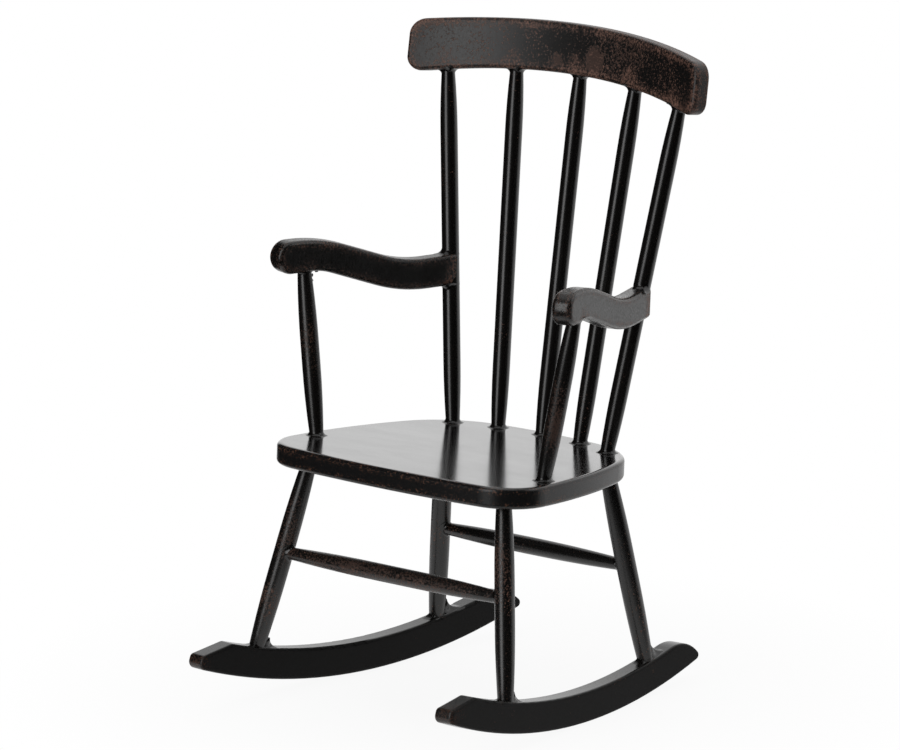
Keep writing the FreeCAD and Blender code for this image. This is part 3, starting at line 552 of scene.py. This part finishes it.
# Studio: a small white floor that keeps the chair's shadow and fades into a white room, a dark dome
# round the front, hidden from the camera, that gloss mirrors and that also takes room light away, a
# tall softbox in front and a weak one at the side.
FLOOR_RADIUS = 0.115
FLOOR_FADE_FROM = 0.02
FLOOR_FADE_TO = 0.10
FLOOR_NEAR_WHITE = 0.91
FLOOR_MATT_WHITE = 0.92
ROOM_LIGHT = 0.85
LAMP_AIM = Vector((0.0, 0.0, 0.06))
CARD_RADIUS = 2.4
CARD_FROM = math.radians(-118.0)
CARD_TO = math.radians(123.0)
CARD_LOW = math.radians(-89.0)
CARD_HIGH = math.radians(62.0)


def bright_to_the_eye(tree):
    """1 for rays from the camera, off gloss and through glass, 0 for the light on things."""
    path = tree.nodes.new("ShaderNodeLightPath")
    seen = arithmetic(tree, "MAXIMUM", path.outputs["Is Camera Ray"], path.outputs["Is Glossy Ray"])
    return arithmetic(tree, "MAXIMUM", seen, path.outputs["Is Transmission Ray"])


floor_white = bpy.data.materials.new("floor_white")
floor_white.use_nodes = True
floor_tree = floor_white.node_tree
matt = floor_tree.nodes["Principled BSDF"]
matt.inputs["Base Color"].default_value = (FLOOR_MATT_WHITE,) * 3 + (1.0,)
matt.inputs["Roughness"].default_value = 0.9
glow = floor_tree.nodes.new("ShaderNodeEmission")
glow.inputs["Color"].default_value = (1.0, 1.0, 1.0, 1.0)
glow.inputs["Strength"].default_value = 1.0
reach = floor_tree.nodes.new("ShaderNodeVectorMath")
reach.operation = "LENGTH"
floor_tree.links.new(floor_tree.nodes.new("ShaderNodeTexCoord").outputs["Object"], reach.inputs[0])
fading = between(floor_tree, reach.outputs["Value"], FLOOR_FADE_FROM, FLOOR_FADE_TO,
                 FLOOR_NEAR_WHITE, 1.0)
paleness = arithmetic(floor_tree, "MULTIPLY", fading, bright_to_the_eye(floor_tree))
floor_mix = floor_tree.nodes.new("ShaderNodeMixShader")
floor_tree.links.new(paleness, floor_mix.inputs[0])
floor_tree.links.new(matt.outputs[0], floor_mix.inputs[1])
floor_tree.links.new(glow.outputs[0], floor_mix.inputs[2])
floor_tree.links.new(floor_mix.outputs[0], floor_tree.nodes["Material Output"].inputs["Surface"])

turn = np.linspace(0.0, 2.0 * np.pi, 97)[None, :]
ring = np.linspace(0.0, FLOOR_RADIUS, 9)[:, None]
disc = np.stack([ring * np.cos(turn), ring * np.sin(turn), 0.0 * ring * turn], axis=-1)
made_piece("studio_floor", disc, grid_faces(9, 97), floor_white)

card_black = bpy.data.materials.new("card_black")
card_black.use_nodes = True
card_shader = card_black.node_tree.nodes["Principled BSDF"]
card_shader.inputs["Base Color"].default_value = (0.03, 0.03, 0.03, 1.0)
card_shader.inputs["Roughness"].default_value = 1.0
bearing = np.linspace(CARD_FROM, CARD_TO, 73)[None, :]
rise = np.linspace(CARD_LOW, CARD_HIGH, 49)[:, None]
dome = np.stack([np.cos(rise) * np.sin(bearing), -np.cos(rise) * np.cos(bearing),
                 np.sin(rise) + 0.0 * bearing], axis=-1) * CARD_RADIUS
cards = made_piece("studio_cards", dome, grid_faces(49, 73), card_black)
cards.visible_camera = False

world = bpy.data.worlds.new("studio")
bpy.context.scene.world = world
world.use_nodes = True
sky = world.node_tree
dim = sky.nodes["Background"]
dim.inputs["Color"].default_value = (1.0, 1.0, 1.0, 1.0)
dim.inputs["Strength"].default_value = ROOM_LIGHT
white = sky.nodes.new("ShaderNodeBackground")
white.inputs["Color"].default_value = (1.0, 1.0, 1.0, 1.0)
white.inputs["Strength"].default_value = 1.0
mixed = sky.nodes.new("ShaderNodeMixShader")
sky.links.new(bright_to_the_eye(sky), mixed.inputs[0])
sky.links.new(dim.outputs[0], mixed.inputs[1])
sky.links.new(white.outputs[0], mixed.inputs[2])
sky.links.new(mixed.outputs[0], sky.nodes["World Output"].inputs["Surface"])


def softbox(name, bearing, rise, away, width, height, power):
    """A lamp of that width and height, at a bearing from straight in front of the chair (positive to
    the sitter's left) and a rise above the floor, turned to face the seat."""
    lamp = bpy.data.lights.new(name, "AREA")
    lamp.shape = "RECTANGLE"
    lamp.size = width
    lamp.size_y = height
    lamp.energy = power
    side = math.radians(bearing)
    up = math.radians(rise)
    facing = Vector((math.cos(up) * math.sin(side), -math.cos(up) * math.cos(side), math.sin(up)))
    place = facing * away
    held = bpy.data.objects.new(name, lamp)
    held.matrix_world = Matrix.LocRotScale(
        place, (LAMP_AIM - place).to_track_quat("-Z", "Y"), None)
    bpy.context.collection.objects.link(held)


softbox("key_lamp", bearing=-3.0, rise=22.0, away=1.2, width=0.55, height=1.1, power=6.5)
softbox("side_lamp", bearing=115.0, rise=40.0, away=1.4, width=0.6, height=0.6, power=1.5)

# Camera: far back and long, level with the crest rail and turned to the chair's left front.
EYE_TURN = math.radians(39.68)
EYE_RISE = math.radians(13.46)
EYE_AWAY = 1.78406
EYE_TARGET = Vector((0.0, 0.0, 0.06215))
EYE_SIDE = 0.007275
EYE_DROP = -0.002361

towards = Vector((math.sin(EYE_TURN) * math.cos(EYE_RISE), -math.cos(EYE_TURN) * math.cos(EYE_RISE),
                  math.sin(EYE_RISE)))
across = Vector((math.cos(EYE_TURN), math.sin(EYE_TURN), 0.0))
upward = towards.cross(across)
lens = bpy.data.cameras.new("eye")
lens.sensor_width = 36.0
lens.lens = 360.0
lens.clip_end = 20.0
eye = bpy.data.objects.new("eye", lens)
turned = Matrix((across, upward, towards)).transposed().to_4x4()
turned.translation = EYE_TARGET + EYE_AWAY * towards - EYE_SIDE * across - EYE_DROP * upward
eye.matrix_world = turned
bpy.context.collection.objects.link(eye)
bpy.context.scene.camera = eye
bpy.context.scene.view_settings.view_transform = "Standard"
